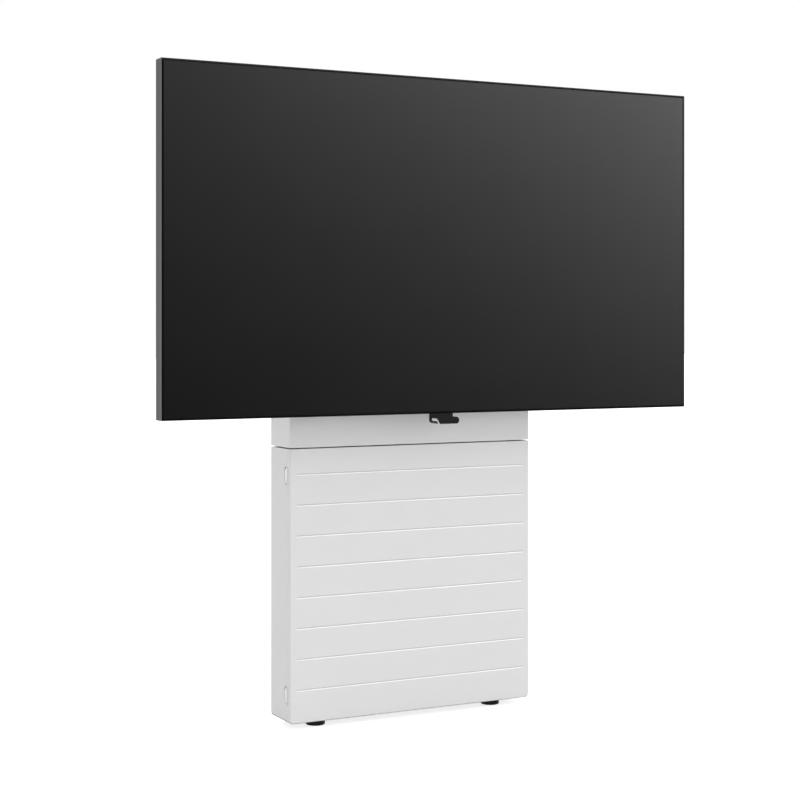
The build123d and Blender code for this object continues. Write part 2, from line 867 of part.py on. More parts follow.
def make_upper_housing():
    """The moving cover: front, sides, top and bottom folded from one sheet, open to the wall."""
    tray = folded_tray(upper_cover_height, 0, upper_bottom)
    level_plane = Plane.XY.offset(upper_bottom + upper_cover_height / 2)
    housing = mirror(tray, about=level_plane)
    opening_width = inner_width + 2 * column_opening_clearance
    opening_depth = inner_depth + 2 * column_opening_clearance
    opening = column_prism(opening_width, opening_depth, profile_radius, upper_bottom - overrun,
                           upper_bottom + sheet + overrun)
    housing = housing - opening - to_right(opening)
    flange_width = rear_flange - sheet
    for left in (-cover_width / 2 + sheet, cover_width / 2 - rear_flange):
        housing = housing + block(left, left + flange_width, 0, -sheet, upper_bottom + sheet,
                                  upper_top - corner_radius)
    for hole in rail_bolt_holes(upright_front + overrun, cover_front - overrun):
        housing = housing - hole
    return housing


def make_rail(section, level, seat):
    """A hook rail: a section carried along the whole rail and drilled for its bolts."""
    rail = side_prism(Pos(cover_front, level) * section, -rail_length / 2, rail_length / 2)
    for hole in rail_bolt_holes(cover_front + overrun, seat - overrun):
        rail = rail - hole
    return rail


def make_upper_rail():
    """The rail that the arms hook on: a web, a shelf at its top and a lip along the shelf."""
    half = rail_height / 2
    lip_back_face = rail_wall - rail_depth
    web = make_face(Polyline((0, -half), (0, half), (lip_back_face, half), (lip_back_face, half + rail_lip),
                             (-rail_depth, half + rail_lip), (-rail_depth, half - rail_wall),
                             (-rail_wall, half - rail_wall), (-rail_wall, -half), close=True))
    rail = make_rail(web, upper_rail_level, upper_bolt_seat)
    slot = front_prism(SlotOverall(rail_slot_length, rail_slot_width), cover_front + overrun,
                       upper_bolt_seat - overrun, upper_rail_level)
    for number in range(rail_slot_count):
        rail = rail - Pos((number - (rail_slot_count - 1) / 2) * rail_slot_pitch, 0, 0) * slot
    return rail


def make_lower_rail():
    """The rail that the arms lean on: a rectangular tube."""
    middle = Pos(-rail_depth / 2, 0)
    outside = middle * Rectangle(rail_depth, rail_height)
    inside = middle * Rectangle(rail_depth - 2 * rail_wall, rail_height - 2 * rail_wall)
    return make_rail(outside - inside, lower_rail_level, lower_bolt_seat)


def make_rail_bolt(level, seat):
    """A left rail bolt with its head on the rail and its nut inside the upright."""
    nut_front = upright_front + upright_wall
    nut_rear = nut_front + nut_thickness
    shank = depth_rod(rail_bolt_x, nut_rear, seat, level, bolt_radius)
    head = depth_rod(rail_bolt_x, seat, seat - bolt_head_height, level, bolt_head_radius)
    nut = Pos(rail_bolt_x, nut_rear, level) * extrude(Plane.XZ * RegularPolygon(nut_radius, 6),
                                                      amount=nut_thickness)
    return shank + head + nut


# Screen

def screen_prism(width, height, rear, front):
    return front_prism(Rectangle(width, height), rear, front, screen_middle)


def make_screen_bezel():
    """The thin metal frame round the glass."""
    rear = screen_front + bezel_depth
    ring = screen_prism(screen_width, screen_height, rear, screen_front)
    inside_width = screen_width - 2 * bezel_wall
    inside_height = screen_height - 2 * bezel_wall
    return ring - screen_prism(inside_width, inside_height, rear + overrun, screen_front - overrun)


glass_front = screen_front + glass_recess
glass_rear = glass_front + glass_thickness
module_rear = glass_rear + module_thickness


def make_screen_glass():
    width = screen_width - 2 * (bezel_wall + glass_gap)
    height = screen_height - 2 * (bezel_wall + glass_gap)
    return screen_prism(width, height, glass_rear, glass_front)


def make_display_module():
    width = screen_width - 2 * module_margin
    height = screen_height - 2 * module_margin
    return screen_prism(width, height, module_rear, glass_rear)


def bulge(width, height, depth, rear):
    """The raised middle of the screen's back, with sloping sides."""
    slope = Plane.XZ * RectangleRounded(width, height, bulge_radius)
    return Pos(0, rear, screen_middle) * extrude(slope, amount=-depth, taper=bulge_slope)


def vent_slots():
    """Rows of upright slots through the raised back, above and below the screen's fixings."""
    slots = []
    half = vent_width / 2
    for level in (screen_middle - vent_level, screen_middle + vent_level):
        for way in (-1, 1):
            for number in range(vent_count):
                x = way * (vent_start + number * vent_pitch)
                slots.append(block(x - half, x + half, shell_rear + overrun,
                                   shell_rear - shell_wall - overrun, level - vent_length / 2,
                                   level + vent_length / 2))
    return slots


def bay_block(grow, rear, front):
    """The room of the connector bay, grown by its wall, between two depths."""
    level = screen_middle - bay_drop
    return block(bay_left - grow, bay_left + bay_width + grow, rear, front,
                 level - bay_height / 2 - grow, level + bay_height / 2 + grow)


def add_connector_bay(shell):
    """Sinks a bay into the back, with a row of openings for connectors in its floor."""
    floor = shell_rear - bay_depth
    shell = shell + bay_block(shell_wall, shell_rear, floor - shell_wall)
    shell = shell - bay_block(0, shell_rear + overrun, floor)
    level = screen_middle - bay_drop
    for number in range(port_count):
        x = bay_left + bay_width / 2 + (number - (port_count - 1) / 2) * port_pitch
        shell = shell - block(x - port_width / 2, x + port_width / 2, floor + overrun,
                              floor - shell_wall - overrun, level - port_height / 2, level + port_height / 2)
    return shell


def make_rear_shell():
    """The moulded back of the screen, hollow, with its raised middle."""
    front = screen_front + bezel_depth
    plate = screen_prism(screen_width, screen_height, screen_rear, front)
    plate = fillet(plate.faces().sort_by(Axis.Y)[-1].edges(), shell_edge_radius)
    outside = plate + bulge(bulge_width, bulge_height, bulge_depth, screen_rear)
    inside_width = screen_width - 2 * (bezel_wall + glass_gap)
    inside_height = screen_height - 2 * (bezel_wall + glass_gap)
    hollow = screen_prism(inside_width, inside_height, screen_rear - shell_wall, front - overrun)
    inner_bulge = bulge(bulge_width - 4 * shell_wall, bulge_height - 4 * shell_wall, bulge_depth,
                        screen_rear - shell_wall)
    shell = outside - hollow - inner_bulge
    for x in (-vesa_width / 2, vesa_width / 2):
        for z in (-vesa_height / 2, vesa_height / 2):
            shell = shell - depth_rod(x, shell_rear + overrun, shell_rear - shell_wall - overrun,
                                      screen_middle + z, bolt_radius + bolt_hole_clearance)
    return add_connector_bay(shell - vent_slots())


def make_sensor_module():
    """The small sensor under the screen: a neck, and a rounded body that reaches to the right."""
    rear = screen_front + sensor_inset + sensor_depth
    front = screen_front + sensor_inset
    body_top = screen_bottom - sensor_neck_height
    body_middle = body_top - sensor_body_height / 2
    neck_x = sensor_left + sensor_neck_width / 2
    body_x = sensor_left + sensor_width / 2
    neck = block(sensor_left, sensor_left + sensor_neck_width, rear, front, body_middle, screen_bottom)
    capsule = RectangleRounded(sensor_width, sensor_body_height, sensor_body_radius)
    body = Pos(body_x, 0, 0) * front_prism(capsule, rear, front, body_middle)
    return neck + body


def make_vesa_boss(x, z):
    """A threaded post inside the screen, from the display module to the back."""
    front = module_rear
    post = depth_rod(x, shell_rear - shell_wall, front, z, boss_radius)
    tip = shell_rear - arm_bolt_length
    return post - depth_rod(x, shell_rear, tip - bolt_radius, z, bolt_radius + fit_clearance)


def vesa_places():
    places = []
    for x in (-vesa_width / 2, vesa_width / 2):
        for z in (-vesa_height / 2, vesa_height / 2):
            places.append((x, screen_middle + z))
    return places


def make_arm():
    """The left screen arm: a folded channel with hooks for the upper rail."""
    x = -vesa_width / 2
    half = arm_width / 2
    bottom = screen_middle - arm_height / 2
    top = screen_middle + arm_height / 2
    arm = block(x - half, x + half, arm_rear, shell_rear, bottom, top)
    arm = arm - block(x - half + arm_wall, x + half - arm_wall, arm_rear + overrun, shell_rear + arm_wall,
                      bottom - overrun, top + overrun)
    shelf = upper_rail_level + rail_height / 2
    hook_bottom = shelf + seat_gap
    hook_rear = cover_front - rail_wall - seat_gap
    lip_top = shelf + rail_lip
    lip_front = rail_front - hook_lip_clearance
    lip_rear = rail_front + rail_wall + hook_lip_clearance
    for left in (x - half, x + half - arm_wall):
        hook = block(left, left + arm_wall, hook_rear, arm_rear, hook_bottom, hook_bottom + hook_height)
        slot = block(left - overrun, left + arm_wall + overrun, lip_rear, lip_front, hook_bottom - overrun,
                     lip_top)
        arm = arm + hook - slot
    for z in (-vesa_tall_height / 2, -vesa_height / 2, vesa_height / 2, vesa_tall_height / 2):
        arm = arm - depth_rod(x, shell_rear + arm_wall + overrun, shell_rear - overrun, screen_middle + z,
                              arm_hole_radius)
    return arm


def make_arm_pad():
    """A rubber buffer across the left arm, leaning on the lower rail."""
    x = -vesa_width / 2
    half = arm_width / 2
    return block(x - half, x + half, rail_front, arm_rear, lower_rail_level - pad_height / 2,
                 lower_rail_level + pad_height / 2)


def make_arm_bolts():
    """The bolts that hold the arms on the screen's posts."""
    bolts = []
    for x, z in vesa_places():
        seat = shell_rear + arm_wall
        shank = depth_rod(x, seat, shell_rear - arm_bolt_length, z, bolt_radius)
        head = depth_rod(x, seat + bolt_head_height, seat, z, bolt_head_radius)
        bolts.append(shank + head)
    return bolts


# Base pieces
save("back_frame", make_back_frame())
save("lower_housing", make_lower_housing())
save("housing_top_plate", make_top_plate())
save("base_beam", make_base_beam())
save("beam_end_caps", *pair(beam_cap(beam_bottom, beam_length / 2)))
save("foot_nuts", *pair(make_foot_nut()))
save("column_clamps", *pair(make_column_clamp()))
save("control_box", make_control_box())
save("motor_leads", *pair(make_motor_lead()))
save("lead_clips", *[half for level in clip_levels for half in pair(make_lead_clip(level))])
save("power_inlet", make_power_inlet())
save("cover_catches", *[half for level in catch_levels for half in pair(make_cover_catch(level))])
save("left_finger_cups", *make_finger_cups())
save("right_finger_cups", *[to_right(cup) for cup in make_finger_cups()])

# Front cover
save("front_cover", make_front_cover())
save("cover_studs", *[half for level in catch_levels for half in pair(make_cover_stud(level))])

# Pieces that each side has one of
sided = {
    "gearbox": make_gearbox(),
    "motor": make_motor(),
    "outer_profile": profile(column_width, column_depth, outer_bottom, outer_top),
    "middle_profile": profile(middle_width, middle_depth, middle_bottom, middle_top),
    "inner_profile": profile(inner_width, inner_depth, inner_bottom, inner_top),
    "lead_screw": make_lead_screw(),
    "hollow_screw": make_hollow_screw(),
    "foot_pad": make_foot_pad(),
    "foot_stud": make_foot_stud(),
    "upright": make_upright(),
    "arm": make_arm(),
}
for name, piece in sided.items():
    save(f"left_{name}", piece)
    save(f"right_{name}", to_right(piece))

# Glides, nuts and bearings, a pair in each node
save("outer_glides", *pair(inside_glide(column_width, column_depth, outer_top)))
save("middle_lower_glides", *pair(outside_glide(middle_width, middle_depth, middle_bottom)))
save("middle_upper_glides", *pair(inside_glide(middle_width, middle_depth, middle_top)))
save("inner_glides", *pair(outside_glide(inner_width, inner_depth, inner_bottom)))
save("lower_nuts", *pair(spindle_nut(middle_width, middle_depth, middle_bottom, screw_radius)))
save("upper_nuts", *pair(spindle_nut(inner_width, inner_depth, inner_bottom, hollow_screw_radius)))
save("screw_bearings", *pair(make_screw_bearing()))

# Carriage
save("carriage_beam", make_carriage_beam())
save("carriage_end_caps", *pair(beam_cap(carriage_beam_bottom, beam_length / 2)))
save("upper_housing", make_upper_housing())
save("upper_rail", make_upper_rail())
save("lower_rail", make_lower_rail())
save("rail_bolts", *[half for place in rail_bolt_places() for half in pair(make_rail_bolt(*place))])

# Screen
save("screen_bezel", make_screen_bezel())
save("screen_glass", make_screen_glass())
save("display_module", make_display_module())
save("rear_shell", make_rear_shell())
save("sensor_module", make_sensor_module())
save("vesa_bosses", *[make_vesa_boss(x, z) for x, z in vesa_places()])
save("arm_pads", *pair(make_arm_pad()))
save("arm_bolts", *make_arm_bolts())
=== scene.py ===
import json
import math

import bpy
from mathutils import Matrix, Vector


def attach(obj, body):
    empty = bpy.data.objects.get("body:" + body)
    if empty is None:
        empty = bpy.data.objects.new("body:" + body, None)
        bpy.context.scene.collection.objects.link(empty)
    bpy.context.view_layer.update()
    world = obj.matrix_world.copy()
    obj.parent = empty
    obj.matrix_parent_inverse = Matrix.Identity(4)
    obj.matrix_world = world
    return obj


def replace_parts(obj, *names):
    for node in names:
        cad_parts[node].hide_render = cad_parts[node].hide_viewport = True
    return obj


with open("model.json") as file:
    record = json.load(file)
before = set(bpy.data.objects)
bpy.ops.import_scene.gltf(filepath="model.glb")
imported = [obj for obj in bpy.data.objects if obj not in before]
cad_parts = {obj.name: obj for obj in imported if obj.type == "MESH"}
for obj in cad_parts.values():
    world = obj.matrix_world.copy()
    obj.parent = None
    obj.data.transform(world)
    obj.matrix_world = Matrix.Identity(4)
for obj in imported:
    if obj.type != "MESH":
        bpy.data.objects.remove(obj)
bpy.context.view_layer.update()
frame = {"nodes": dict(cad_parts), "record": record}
MM = 0.001

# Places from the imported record, in metres
record = frame["record"]
mounts = {mount["name"]: mount["pos_m"] for mount in record["mounts"]}
hinges = {joint["name"]: joint["pos_m"] for joint in record["behaviour"]["joints"] if "pos_m" in joint}
foot_y, floor_z = mounts["right_foot_face"][1:]
shell_rear, screen_middle = mounts["vesa_400x400"][1:]
column_x, column_y = hinges["right_lead_screw_spin"][:2]


def level(height):
    """A height above the floor in millimetres, as a height in the row frame in metres."""
    return height * MM + floor_z


# Shader helpers

def add(tree, kind, settings=None, **values):
    """A new shader node with its settings, and with values on the inputs named."""
    node = tree.nodes.new(kind)
    for key, value in (settings or {}).items():
        setattr(node, key, value)
    for key, value in values.items():
        node.inputs[key.replace("_", " ")].default_value = value
    return node


def link(tree, output, target):
    """Joins an output to an input."""
    tree.links.new(output, target)


def grey(tone):
    """A neutral colour."""
    return (tone, tone, tone)


def position(tree, stretch=(1.0, 1.0, 1.0)):
    """The point's place on the object, in metres, scaled on each axis."""
    source = add(tree, "ShaderNodeTexCoord")
    mapping = add(tree, "ShaderNodeMapping", Scale=stretch)
    link(tree, source.outputs["Object"], mapping.inputs["Vector"])
    return mapping.outputs["Vector"]


def coordinates(tree):
    """The point's place on the object, split into its X, Y and Z."""
    split = add(tree, "ShaderNodeSeparateXYZ")
    link(tree, position(tree), split.inputs["Vector"])
    return split.outputs


def facing(tree, axis):
    """How much a face looks along one axis of the object, from -1 to 1."""
    source = add(tree, "ShaderNodeTexCoord")
    split = add(tree, "ShaderNodeSeparateXYZ")
    link(tree, source.outputs["Normal"], split.inputs["Vector"])
    return split.outputs[axis]


def noise(tree, scale, stretch=(1.0, 1.0, 1.0), detail=3.0):
    """Cloudy noise over the object, from 0 to 1 and mostly near 0.5."""
    node = add(tree, "ShaderNodeTexNoise", Scale=scale, Detail=detail)
    link(tree, position(tree, stretch), node.inputs["Vector"])
    return node.outputs["Fac"]


def span(tree, factor, low, high, start=0.3, end=0.7):
    """A factor between start and end, carried over to low and high."""
    node = add(tree, "ShaderNodeMapRange")
    for key, value in (("From Min", start), ("From Max", end), ("To Min", low), ("To Max", high)):
        node.inputs[key].default_value = value
    link(tree, factor, node.inputs["Value"])
    return node.outputs["Result"]


def blend_colours(tree, factor, first, second):
    """A mix of two colours, each a fixed one or an output."""
    node = add(tree, "ShaderNodeMix", {"data_type": "RGBA"})
    link(tree, factor, node.inputs["Factor"])
    for socket, colour in ((node.inputs[6], first), (node.inputs[7], second)):
        if isinstance(colour, tuple):
            socket.default_value = (*colour, 1.0)
        else:
            link(tree, colour, socket)
    return node.outputs[2]


def shade(colour, change):
    """A colour made lighter or darker by a share of itself."""
    return tuple(max(0.0, c * (1.0 + change)) for c in colour)


# Finishes

def surface(name, colour, vary, rough, rough_vary, grain, depth, metallic=0.0, stretch=(1.0, 1.0, 1.0),
            mottle=14.0, specular=0.5):
    """A finish with slow mottling in colour, uneven gloss, and a fine grain in relief."""
    gloss_scale = 2.7 * mottle
    mat = bpy.data.materials.new(name)
    mat.use_nodes = True
    tree = mat.node_tree
    shader = tree.nodes["Principled BSDF"]
    shader.inputs["Metallic"].default_value = metallic
    shader.inputs["Specular IOR Level"].default_value = specular
    cloud = noise(tree, mottle, stretch, detail=4.0)
    tone = blend_colours(tree, span(tree, cloud, 0.0, 1.0), shade(colour, -vary), shade(colour, vary))
    link(tree, tone, shader.inputs["Base Color"])
    patches = noise(tree, gloss_scale, stretch, detail=4.0)
    link(tree, span(tree, patches, rough - rough_vary, rough + rough_vary), shader.inputs["Roughness"])
    bump = add(tree, "ShaderNodeBump", Distance=depth, Strength=1.0)
    link(tree, noise(tree, grain, stretch, detail=2.0), bump.inputs["Height"])
    link(tree, bump.outputs["Normal"], shader.inputs["Normal"])
    return mat


def opened(mat):
    """A finish's node tree, its shader, and the output that colours it."""
    tree = mat.node_tree
    shader = tree.nodes["Principled BSDF"]
    return tree, shader, shader.inputs["Base Color"].links[0].from_socket


def spangled_steel():
    """Galvanised sheet, with the crystal pattern of hot-dip zinc."""
    crystals = 95.0
    dark, light = (0.32, 0.325, 0.33), (0.44, 0.445, 0.45)
    mat = surface("galvanised_steel", (0.52, 0.53, 0.54), vary=0.04, rough=0.42, rough_vary=0.06,
                  grain=900.0, depth=0.02 * MM, metallic=0.85)
    tree, shader, _ = opened(mat)
    cells = add(tree, "ShaderNodeTexVoronoi", Scale=crystals)
    link(tree, position(tree), cells.inputs["Vector"])
    value = add(tree, "ShaderNodeRGBToBW")
    link(tree, cells.outputs["Color"], value.inputs["Color"])
    link(tree, blend_colours(tree, value.outputs["Val"], dark, light), shader.inputs["Base Color"])
    link(tree, span(tree, value.outputs["Val"], 0.34, 0.5, start=0.0, end=1.0), shader.inputs["Roughness"])
    return mat


def bezel_metal():
    """Dark anodised frame: brushed sides with a lighter front band, and a black face with two fine lighter
    lines along its top and right borders, a painted sheen.
    """
    side, band, face, painted_sheen_tone = (0.138, 0.138, 0.141), (0.165, 0.165, 0.168), grey(0.002), grey(0.045)
    band_front, band_rear = -0.2601, -0.2598
    painted_sheen_starts = (("X", 0.7185), ("Z", level(1583.5)))
    painted_sheen_blur = 1 * MM
    mat = surface("bezel_metal", side, vary=0.03, rough=0.5, rough_vary=0.03, grain=1600.0, depth=0.02 * MM,
                  stretch=(0.05, 1.0, 0.05), specular=0.04)
    tree, shader, sides = opened(mat)
    place = coordinates(tree)
    sides = blend_colours(tree, span(tree, place["Y"], 1.0, 0.0, band_front, band_rear), sides, band)
    front = span(tree, facing(tree, "Y"), 1.0, 0.0, start=-0.9, end=-0.5)
    # painted sheen: the black face turns lighter along its right and top borders
    for axis, start in painted_sheen_starts:
        lit = span(tree, place[axis], 0.0, 1.0, start, start + painted_sheen_blur)
        face = blend_colours(tree, lit, face, painted_sheen_tone)
    link(tree, blend_colours(tree, front, sides, face), shader.inputs["Base Color"])
    return mat


def coat_with_painted_flank_light_and_shade(name, painted_light_tone, painted_shade_tone):
    """White coat with painted light on flanks that face up and painted shade on flanks that face down."""
    flat, steep = 0.3, 0.6
    mat = surface(name, white, vary=0.006, rough=0.5, rough_vary=0.03, grain=1100.0, depth=0.06 * MM)
    tree, shader, tone = opened(mat)
    upward = facing(tree, "Z")
    tone = blend_colours(tree, span(tree, upward, 0.0, 1.0, flat, steep), tone, grey(painted_light_tone))
    tone = blend_colours(tree, span(tree, upward, 1.0, 0.0, -steep, -flat), tone, grey(painted_shade_tone))
    link(tree, tone, shader.inputs["Base Color"])
    return mat


def cup_plastic_painted_light_and_shade():
    """The finger scoops: white, lighter than the coat around them as painted light, and darker in their
    deepest part as painted shade.
    """
    deep_end, deep_start = 0.3366, 0.3372
    # grey(1.0) is painted light: the coat's white made lighter so the scoop looks lit
    mat = surface("cup_plastic_painted_light_and_shade", grey(1.0), vary=0.006, rough=0.5, rough_vary=0.03, grain=1100.0,
                  depth=0.04 * MM)
    tree, shader, tone = opened(mat)
    across = add(tree, "ShaderNodeMath", {"operation": "ABSOLUTE"})
    link(tree, coordinates(tree)["X"], across.inputs[0])
    # painted shade over the deepest part of the scoop
    painted_shade_mask = span(tree, across.outputs["Value"], 1.0, 0.0, deep_end, deep_start)
    link(tree, blend_colours(tree, painted_shade_mask, tone, grey(0.52)), shader.inputs["Base Color"])
    return mat


white = grey(0.80)
finishes = {
    "white_steel": surface("white_powder_coat", white, vary=0.006, rough=0.5, rough_vary=0.03, grain=1100.0,
                           depth=0.06 * MM),
    "black_steel": surface("black_powder_coat", (0.022, 0.022, 0.023), vary=0.08, rough=0.5,
                           rough_vary=0.05, grain=1300.0, depth=0.08 * MM),
    "frame_steel": spangled_steel(),
    "steel": surface("zinc_plated_steel", (0.42, 0.42, 0.43), vary=0.05, rough=0.32, rough_vary=0.06,
                     grain=700.0, depth=0.01 * MM, metallic=1.0, mottle=60.0),
    "aluminium": surface("anodised_aluminium", (0.40, 0.405, 0.41), vary=0.03, rough=0.34, rough_vary=0.04,
                         grain=700.0, depth=0.02 * MM, metallic=1.0, stretch=(1.0, 1.0, 0.02)),
    "cast": surface("cast_alloy", (0.33, 0.335, 0.34), vary=0.06, rough=0.55, rough_vary=0.06, grain=420.0,
                    depth=0.15 * MM, metallic=0.9, mottle=40.0),
    "motor": surface("black_enamel", (0.03, 0.03, 0.032), vary=0.08, rough=0.3, rough_vary=0.05,
                     grain=300.0, depth=0.04 * MM),
    "black_plastic": surface("black_plastic", (0.022, 0.022, 0.023), vary=0.06, rough=0.58,
                             rough_vary=0.05, grain=1500.0, depth=0.06 * MM),
    "glide_plastic": surface("slide_plastic", (0.80, 0.79, 0.74), vary=0.02, rough=0.45, rough_vary=0.05,
                             grain=900.0, depth=0.03 * MM),
    "rubber": surface("rubber", grey(0.006), vary=0.1, rough=0.75, rough_vary=0.06, grain=800.0,
                      depth=0.1 * MM, specular=0.12),
    "bezel": bezel_metal(),
    "glass": surface("satin_glass", (0.0008, 0.0008, 0.00085), vary=0.05, rough=0.45, rough_vary=0.01,
                     grain=3000.0, depth=0.002 * MM, mottle=3.0, specular=0.02),
    "display": surface("display_backing", grey(0.05), vary=0.05, rough=0.6, rough_vary=0.05, grain=600.0,
                       depth=0.03 * MM),
}
shell_finish = surface("rear_shell_plastic", (0.062, 0.062, 0.063), vary=0.05, rough=0.6, rough_vary=0.04,
                       grain=1500.0, depth=0.05 * MM, specular=0.15)
# white plastic for the sensor's window, also used for the painted highlight on the sensor's edge
window_and_painted_highlight_plastic = surface("window_and_painted_highlight_plastic", grey(1.0), vary=0.01, rough=0.3, rough_vary=0.03, grain=900.0,
                         depth=0.02 * MM, specular=1.0)
sensor_finish = surface("sensor_plastic", grey(0.007), vary=0.05, rough=0.4, rough_vary=0.03, grain=1500.0,
                        depth=0.03 * MM, specular=0.12)
cup_finish = cup_plastic_painted_light_and_shade()
# painted shade: the housing's faces that look down are near black, which darkens its seam and bottom edges
housing_coat_painted_shade = coat_with_painted_flank_light_and_shade("housing_coat_painted_shade", painted_light_tone=0.8, painted_shade_tone=0.03)
# painted highlight on the grooves' upward flanks and painted shade on their downward flanks
front_coat_painted_light_and_shade = coat_with_painted_flank_light_and_shade("front_coat_painted_light_and_shade", painted_light_tone=1.0, painted_shade_tone=0.36)
node_finishes = {
    "rear_shell": shell_finish,
    "sensor_module": sensor_finish,
    "left_foot_pad": sensor_finish,
    "right_foot_pad": sensor_finish,
    "front_cover": front_coat_painted_light_and_shade,
    "lower_housing": housing_coat_painted_shade,
    "upper_housing": housing_coat_painted_shade,
    "left_finger_cups": cup_finish,
    "right_finger_cups": cup_finish,
}
for part in record["subparts"]:
    finish = node_finishes.get(part["node"], finishes[part["material_slot"]])
    for place in frame["nodes"][part["node"]].material_slots:
        place.material = finish


# Meshes

ROUND = 24  # points on a turned edge
to_front = (0.0, -1.0, 0.0)
to_rear = (0.0, 1.0, 0.0)


def make_piece(name, vertices, faces, body, slot):
    """A new mesh piece with its finish, riding on a body."""
    mesh = bpy.data.meshes.new(name)
    mesh.from_pydata([tuple(v) for v in vertices], [], faces)
    mesh.validate()
    piece = bpy.data.objects.new(name, mesh)
    bpy.context.scene.collection.objects.link(piece)
    mesh.materials.append(finishes[slot])
    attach(piece, body)
    return piece


def add_part(whole, part, matrix):
    """Adds one part's vertices and faces, moved by a matrix, to a larger mesh."""
    vertices, faces = part
    start = len(whole[0])
    whole[0].extend(matrix @ v for v in vertices)
    whole[1].extend(tuple(i + start for i in face) for face in faces)


def many(name, part, places, body, slot):
    """One piece that holds the same part at each of several places."""
    whole = ([], [])
    for matrix in places:
        add_part(whole, part, matrix)
    return make_piece(name, whole[0], whole[1], body, slot)


def towards(point, direction):
    """A matrix that stands a part made about Z on a point, along a direction."""
    turn = Vector(direction).to_track_quat("Z", "Y").to_matrix().to_4x4()
    return Matrix.Translation(Vector(point)) @ turn


def join_rings(rings, closed_start=True, closed_end=True):
    """Vertices and faces of a skin over equal rings of points."""
    count = len(rings[0])
    vertices = [point for ring_points in rings for point in ring_points]
    faces = []
    for row in range(len(rings) - 1):
        for step in range(count):
            after = (step + 1) % count
            a, b = row * count + step, row * count + after
            faces.append((a, b, b + count, a + count))
    if closed_start:
        faces.append(tuple(reversed(range(count))))
    if closed_end:
        last = (len(rings) - 1) * count
        faces.append(tuple(range(last, last + count)))
    return vertices, faces


def ring(radius, height, count, corners=0):
    """A ring of points about Z: round, or following a polygon with that many corners."""
    points = []
    for step in range(count):
        angle = 2 * math.pi * step / count
        reach = radius
        if corners:
            half = math.pi / corners
            reach = radius * math.cos(half) / math.cos((angle + half) % (2 * half) - half)
        points.append(Vector((reach * math.cos(angle), reach * math.sin(angle), height)))
    return points


def socket_bolt(head_radius, head_height, shank_radius, shank_length):
    """A cap head with a hexagon socket, above Z = 0, and its shank below."""
    edge = 0.5 * MM
    tip = 0.8 * shank_radius
    socket = 0.52 * head_radius
    mouth, mouth_depth = 1.12 * socket, 0.3 * MM
    socket_floor = 0.35 * head_height
    return join_rings([
        ring(tip, -shank_length, ROUND), ring(shank_radius, -shank_length + edge, ROUND),
        ring(shank_radius, 0, ROUND), ring(head_radius, 0, ROUND),
        ring(head_radius, head_height - edge, ROUND), ring(head_radius - edge, head_height, ROUND),
        ring(mouth, head_height, ROUND), ring(socket, head_height - mouth_depth, ROUND, corners=6),
        ring(socket, socket_floor, ROUND, corners=6)])


def hexagon_nut(radius, height, bore):
    """A nut that stands on Z = 0, with its corners turned off on both faces."""
    edge = 0.4 * MM
    return join_rings([
        ring(bore, 0, ROUND), ring(radius - edge, 0, ROUND), ring(radius, edge, ROUND, corners=6),
        ring(radius, height - edge, ROUND, corners=6), ring(radius - edge, height, ROUND),
        ring(bore, height, ROUND)], closed_start=False, closed_end=False)


def threaded_rod(bottom, top, radius, depth, pitch, starts=1, bore=0.0, journal=None):
    """A rod about Z with a real helical thread, which may be hollow or end in a plain journal."""
    count, rows_per_pitch = 20, 6
    crest, flank, plain_end = 0.6, 0.8, 0.5
    steps = int((top - bottom) / (pitch / rows_per_pitch)) + 1
    rings = []
    if bore:
        rings.append(ring(bore, bottom, count))
    if journal:
        journal_radius, journal_length = journal
        rings += [ring(journal_radius, bottom - journal_length, count), ring(journal_radius, bottom, count)]
    for row in range(steps + 1):
        height = bottom + (top - bottom) * row / steps
        from_end = min(height - bottom, top - height) / pitch
        points = []
        for step in range(count):
            turn = step / count
            wave = (height / pitch - starts * turn) % 1.0
            groove = min(max((abs(wave - 0.5) * 4 - crest) / flank, 0.0), 1.0)
            dip = groove if from_end > plain_end else 1.0
            reach = radius - dip * depth
            angle = 2 * math.pi * turn
            points.append(Vector((reach * math.cos(angle), reach * math.sin(angle), height)))
        rings.append(points)
    if bore:
        rings += [ring(bore, top, count), ring(bore, bottom, count)]
    return join_rings(rings, closed_start=not bore, closed_end=not bore)


def box_part(low, high):
    """A box between two corners, with its edges cut off a little."""
    cut = 0.25 * min(high[i] - low[i] for i in range(3))
    middle = [(low[i] + high[i]) / 2 for i in range(3)]
    half = [(high[i] - low[i]) / 2 for i in range(3)]
    rings = []
    for z, inset in ((-half[2], cut), (-half[2] + cut, 0.0), (half[2] - cut, 0.0), (half[2], cut)):
        x, y = half[0] - inset, half[1] - inset
        points = [(x, -y + cut), (x, y - cut), (x - cut, y), (-x + cut, y), (-x, y - cut), (-x, -y + cut),
                  (-x + cut, -y), (x - cut, -y)]
        rings.append([Vector((middle[0] + a, middle[1] + b, middle[2] + z)) for a, b in points])
    return join_rings(rings)


# Threaded spindles and foot studs

spindle_depth, spindle_pitch, spindle_starts = 1.2 * MM, 5.0 * MM, 2
lead_screw = threaded_rod(bottom=level(118.8), top=level(495.0), radius=7.0 * MM, depth=spindle_depth,
                          pitch=spindle_pitch, starts=spindle_starts, journal=(5.0 * MM, 6.3 * MM))
hollow_screw = threaded_rod(bottom=level(156.8), top=level(544.5), radius=13.0 * MM, depth=spindle_depth,
                            pitch=spindle_pitch, starts=spindle_starts, bore=8.0 * MM)
foot_stud = threaded_rod(bottom=level(12.0), top=level(46.0), radius=6.0 * MM, depth=0.7 * MM,
                         pitch=1.75 * MM)


